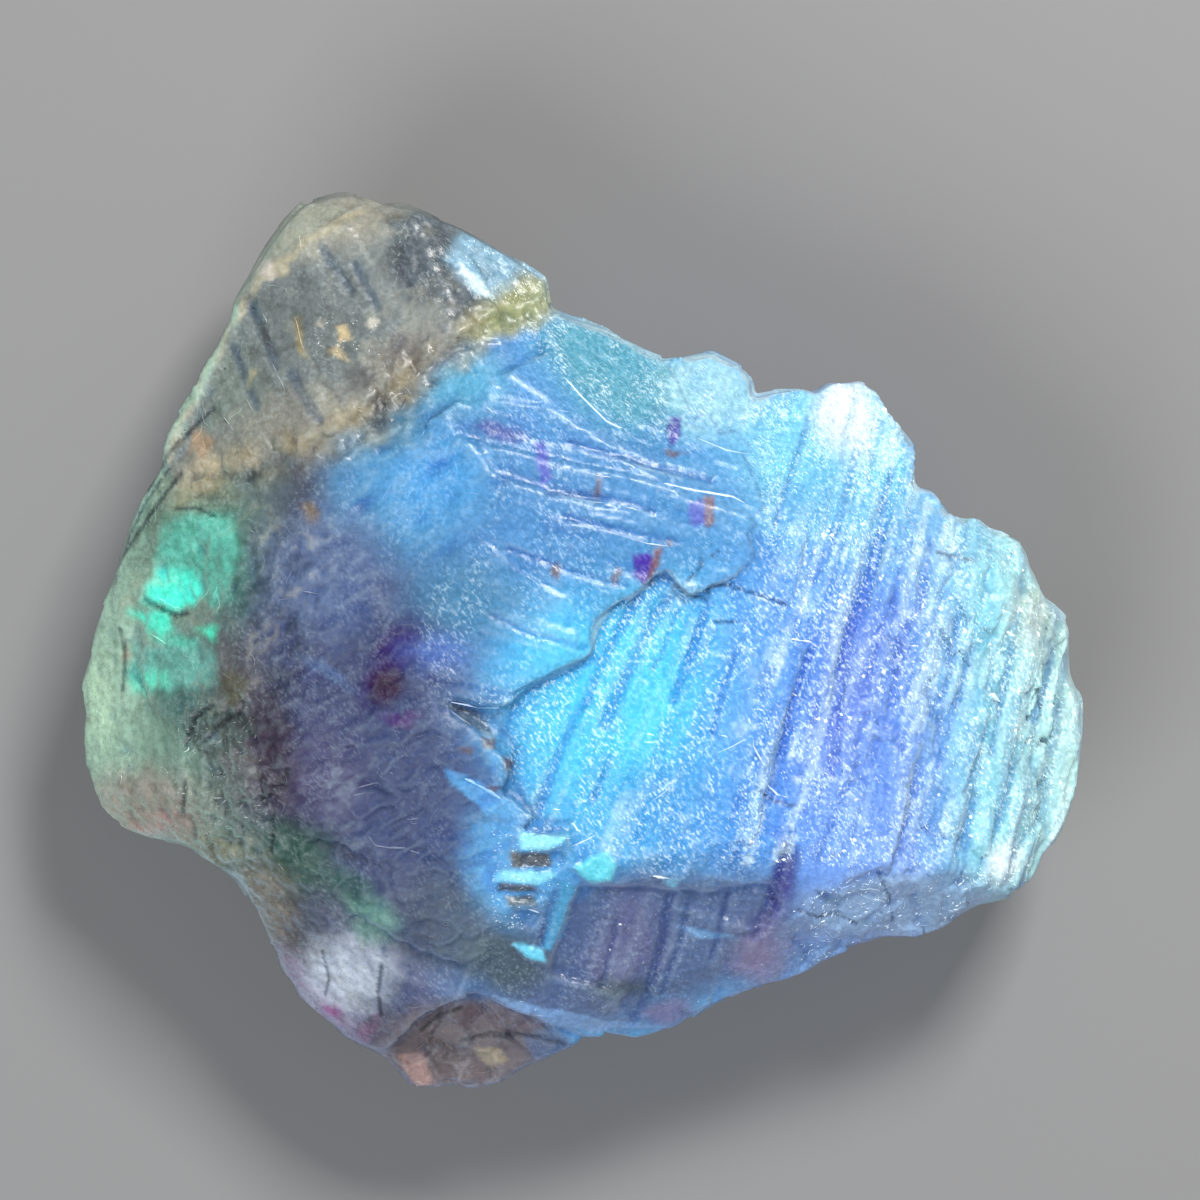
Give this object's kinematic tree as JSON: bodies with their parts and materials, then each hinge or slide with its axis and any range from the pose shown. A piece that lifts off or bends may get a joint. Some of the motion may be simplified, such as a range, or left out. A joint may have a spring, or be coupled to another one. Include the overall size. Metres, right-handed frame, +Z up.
{
  "type": "fluorite crystal",
  "caption": "Natural fluorite crystal, a flattened etched octahedron in one solid, with stepped growth faces, lying on a flat cleavage back",
  "frame": {"origin": "on the resting plane, below the centre of the bounding box", "axes": "+X along the longest extent, from the smooth green end to the stepped pale end; +Y towards the grey summit; +Z up, out of the display face, with the flat back on Z = 0"},
  "size_m": [0.0502, 0.045, 0.0192],
  "materials": {
    "fluorite": "half frosted by etching, vitreous on fresh cleavage"
  },
  "bodies": {
    "root": {"fluorite_crystal": "fluorite"}
  },
  "joints": []
}
